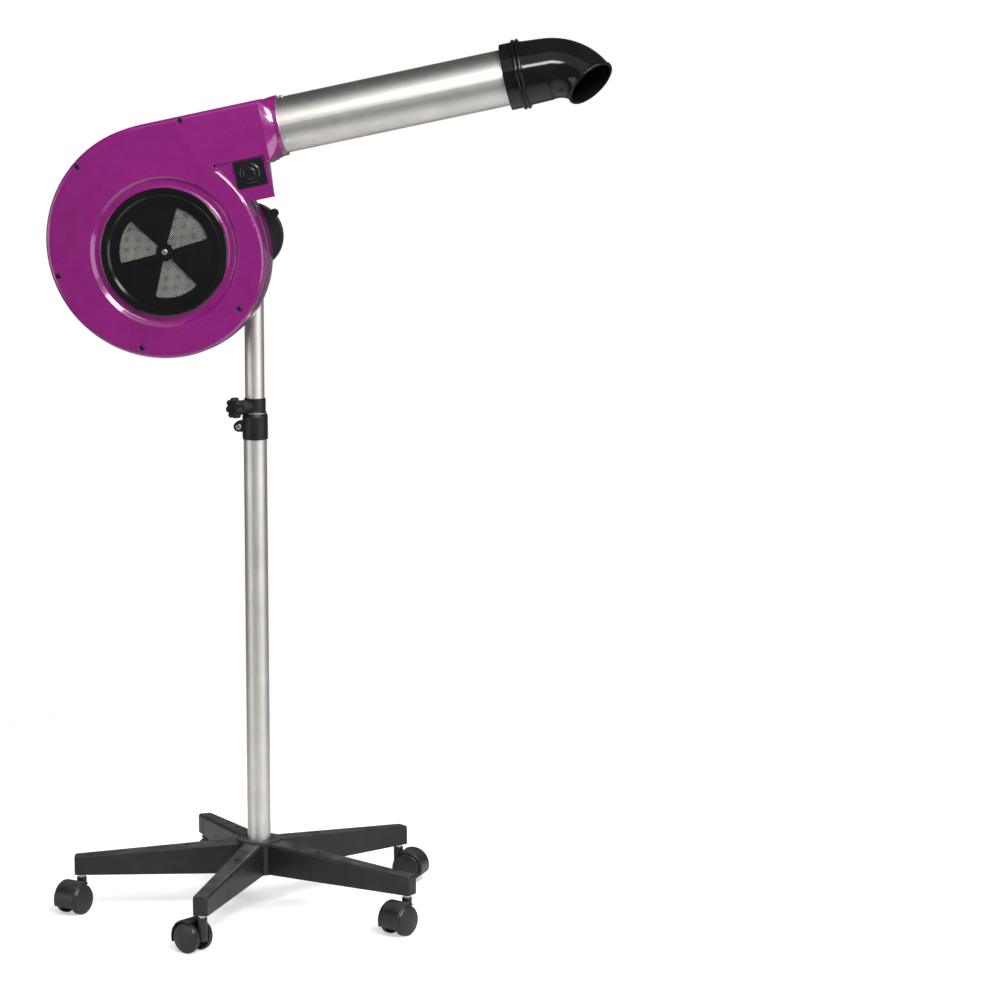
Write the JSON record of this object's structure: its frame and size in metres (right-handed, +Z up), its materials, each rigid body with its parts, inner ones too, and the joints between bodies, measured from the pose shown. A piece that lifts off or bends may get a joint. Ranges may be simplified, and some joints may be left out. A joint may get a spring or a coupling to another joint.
{
  "type": "stand hair dryer",
  "caption": "Salon dryer: a flat spiral blower with round grille, aluminium outlet tube and turning elbow nozzle, on a telescopic pole with a wheeled star base.",
  "frame": {"origin": "on the floor, on the axis of the pole", "axes": "+Z up along the pole, +X to the outlet side of the blower, so the intake grille faces -Y"},
  "size_m": [0.9201, 0.6271, 1.4415],
  "materials": {
    "base_nylon": "fine-grained charcoal nylon",
    "caster_plastic": "moulded dark grey, satin",
    "pole_aluminium": "satin, drawn lengthwise",
    "clamp_plastic": "satin black moulding",
    "zinc_steel": "bright zinc plated",
    "dark_screws": "blackened",
    "housing_plastic": "deep magenta-purple gloss",
    "intake_plastic": "satin black moulding",
    "intake_mesh": "woven wire",
    "duct_aluminium": "brushed round the tube",
    "nozzle_plastic": "polished black",
    "switch_plastic": "black, semi-gloss",
    "motor_metal": "dark painted casting",
    "bush_plastic": "self-coloured acetal",
    "heater_board": "mica board",
    "heater_wire": "nickel-chrome wire"
  },
  "bodies": {
    "stand": {"star_base": "base_nylon", "leg_plugs": "clamp_plastic", "base_bolt": "zinc_steel", "tube_foot": "bush_plastic", "lower_tube": "pole_aluminium", "caster_stems": "zinc_steel", "clamp_collar": "clamp_plastic", "collar_bush": "bush_plastic", "pinch_bolt": "zinc_steel"},
    "clamp_knob": {"clamp_knob": "clamp_plastic", "clamp_stud": "zinc_steel"},
    "column": {"upper_tube": "pole_aluminium", "glide_plug": "bush_plastic", "top_spigot": "bush_plastic"},
    "head_bracket": {"tilt_bracket": "clamp_plastic", "retaining_screws": "dark_screws", "tilt_bolt": "zinc_steel", "friction_washer": "bush_plastic"},
    "tilt_knob": {"tilt_knob": "clamp_plastic"},
    "blower": {"front_shell": "housing_plastic", "rear_shell": "housing_plastic", "shell_screws": "dark_screws", "inlet_ring": "intake_plastic", "inlet_grille": "intake_plastic", "inlet_mesh": "intake_mesh", "grille_screw": "zinc_steel", "grille_nut": "zinc_steel", "motor": "motor_metal", "motor_screws": "dark_screws", "motor_cover": "intake_plastic", "cover_screws": "dark_screws", "cable_gland": "clamp_plastic", "switch_plate": "switch_plastic", "switch_body": "switch_plastic", "duct_tube": "duct_aluminium", "duct_screws": "zinc_steel", "heater_frame": "heater_board", "heater_coils": "heater_wire", "hinge_disc": "clamp_plastic", "hinge_screws": "dark_screws"},
    "impeller": {"impeller": "intake_plastic", "motor_shaft": "zinc_steel"},
    "switch_knob": {"switch_knob": "switch_plastic"},
    "nozzle": {"elbow_nozzle": "nozzle_plastic", "nozzle_bush": "bush_plastic"},
    "caster_1": {"caster_1_hood": "caster_plastic"},
    "caster_1_wheel_left": {"caster_1_wheel_left": "caster_plastic"},
    "caster_1_wheel_right": {"caster_1_wheel_right": "caster_plastic"},
    "caster_2": {"caster_2_hood": "caster_plastic"},
    "caster_2_wheel_left": {"caster_2_wheel_left": "caster_plastic"},
    "caster_2_wheel_right": {"caster_2_wheel_right": "caster_plastic"},
    "caster_3": {"caster_3_hood": "caster_plastic"},
    "caster_3_wheel_left": {"caster_3_wheel_left": "caster_plastic"},
    "caster_3_wheel_right": {"caster_3_wheel_right": "caster_plastic"},
    "caster_4": {"caster_4_hood": "caster_plastic"},
    "caster_4_wheel_left": {"caster_4_wheel_left": "caster_plastic"},
    "caster_4_wheel_right": {"caster_4_wheel_right": "caster_plastic"},
    "caster_5": {"caster_5_hood": "caster_plastic"},
    "caster_5_wheel_left": {"caster_5_wheel_left": "caster_plastic"},
    "caster_5_wheel_right": {"caster_5_wheel_right": "caster_plastic"}
  },
  "joints": [
    {"name": "clamp_knob_turn", "type": "hinge", "parent": "stand", "child": "clamp_knob", "pos_m": [0, 0, 0.842], "axis": [-0.7193, -0.6947, 0], "range_deg": [0, 360]},
    {"name": "column_slide", "type": "slide", "parent": "stand", "child": "column", "axis": [0, 0, 1], "range_m": [-0.06, 0.3]},
    {"name": "head_swivel", "type": "hinge", "parent": "column", "child": "head_bracket", "pos_m": [0, 0, 1.085], "axis": [0, 0, 1], "continuous": true},
    {"name": "tilt_knob_turn", "type": "hinge", "parent": "head_bracket", "child": "tilt_knob", "pos_m": [0, 0.03, 1.1235], "axis": [0, 1, 0], "range_deg": [0, 360]},
    {"name": "head_tilt", "type": "hinge", "parent": "head_bracket", "child": "blower", "pos_m": [0, -0.0945, 1.1235], "axis": [0, -1, 0], "range_deg": [-60, 30]},
    {"name": "impeller_spin", "type": "hinge", "parent": "blower", "child": "impeller", "pos_m": [-0.1205, -0.0945, 1.104], "axis": [0, 1, 0], "continuous": true},
    {"name": "switch_turn", "type": "hinge", "parent": "blower", "child": "switch_knob", "pos_m": [0.01793, -0.15, 1.22952], "axis": [0, 1, 0], "range_deg": [0, 270]},
    {"name": "nozzle_turn", "type": "hinge", "parent": "blower", "child": "nozzle", "pos_m": [0.41907, -0.0945, 1.3792], "axis": [0.9781, 0, 0.2079], "continuous": true},
    {"name": "caster_1_swivel", "type": "hinge", "parent": "stand", "child": "caster_1", "pos_m": [0.21077, 0.2064, 0.05], "axis": [0, 0, 1], "continuous": true},
    {"name": "caster_1_spin_left", "type": "hinge", "parent": "caster_1", "child": "caster_1_wheel_left", "pos_m": [0.23026, 0.2019, 0.025], "axis": [-0.225, -0.9744, 0], "continuous": true},
    {"name": "caster_1_spin_right", "type": "hinge", "parent": "caster_1", "child": "caster_1_wheel_right", "pos_m": [0.23026, 0.2019, 0.025], "axis": [-0.225, -0.9744, 0], "continuous": true},
    {"name": "caster_2_swivel", "type": "hinge", "parent": "stand", "child": "caster_2", "pos_m": [-0.13117, 0.26423, 0.05], "axis": [0, 0, 1], "continuous": true},
    {"name": "caster_2_spin_left", "type": "hinge", "parent": "caster_2", "child": "caster_2_wheel_left", "pos_m": [-0.12117, 0.28156, 0.025], "axis": [0.866, -0.5, 0], "continuous": true},
    {"name": "caster_2_spin_right", "type": "hinge", "parent": "caster_2", "child": "caster_2_wheel_right", "pos_m": [-0.12117, 0.28156, 0.025], "axis": [0.866, -0.5, 0], "continuous": true},
    {"name": "caster_3_swivel", "type": "hinge", "parent": "stand", "child": "caster_3", "pos_m": [-0.29184, -0.04309, 0.05], "axis": [0, 0, 1], "continuous": true},
    {"name": "caster_3_spin_left", "type": "hinge", "parent": "caster_3", "child": "caster_3_wheel_left", "pos_m": [-0.30122, -0.06075, 0.025], "axis": [-0.8829, 0.4695, 0], "continuous": true},
    {"name": "caster_3_spin_right", "type": "hinge", "parent": "caster_3", "child": "caster_3_wheel_right", "pos_m": [-0.30122, -0.06075, 0.025], "axis": [-0.8829, 0.4695, 0], "continuous": true},
    {"name": "caster_4_swivel", "type": "hinge", "parent": "stand", "child": "caster_4", "pos_m": [-0.0492, -0.29087, 0.05], "axis": [0, 0, 1], "continuous": true},
    {"name": "caster_4_spin_left", "type": "hinge", "parent": "caster_4", "child": "caster_4_wheel_left", "pos_m": [-0.06597, -0.27998, 0.025], "axis": [0.5446, 0.8387, 0], "continuous": true},
    {"name": "caster_4_spin_right", "type": "hinge", "parent": "caster_4", "child": "caster_4_wheel_right", "pos_m": [-0.06597, -0.27998, 0.025], "axis": [0.5446, 0.8387, 0], "continuous": true},
    {"name": "caster_5_swivel", "type": "hinge", "parent": "stand", "child": "caster_5", "pos_m": [0.26143, -0.13667, 0.05], "axis": [0, 0, 1], "continuous": true},
    {"name": "caster_5_spin_left", "type": "hinge", "parent": "caster_5", "child": "caster_5_wheel_left", "pos_m": [0.24996, -0.15306, 0.025], "axis": [-0.8191, 0.5736, 0], "continuous": true},
    {"name": "caster_5_spin_right", "type": "hinge", "parent": "caster_5", "child": "caster_5_wheel_right", "pos_m": [0.24996, -0.15306, 0.025], "axis": [-0.8191, 0.5736, 0], "continuous": true}
  ]
}
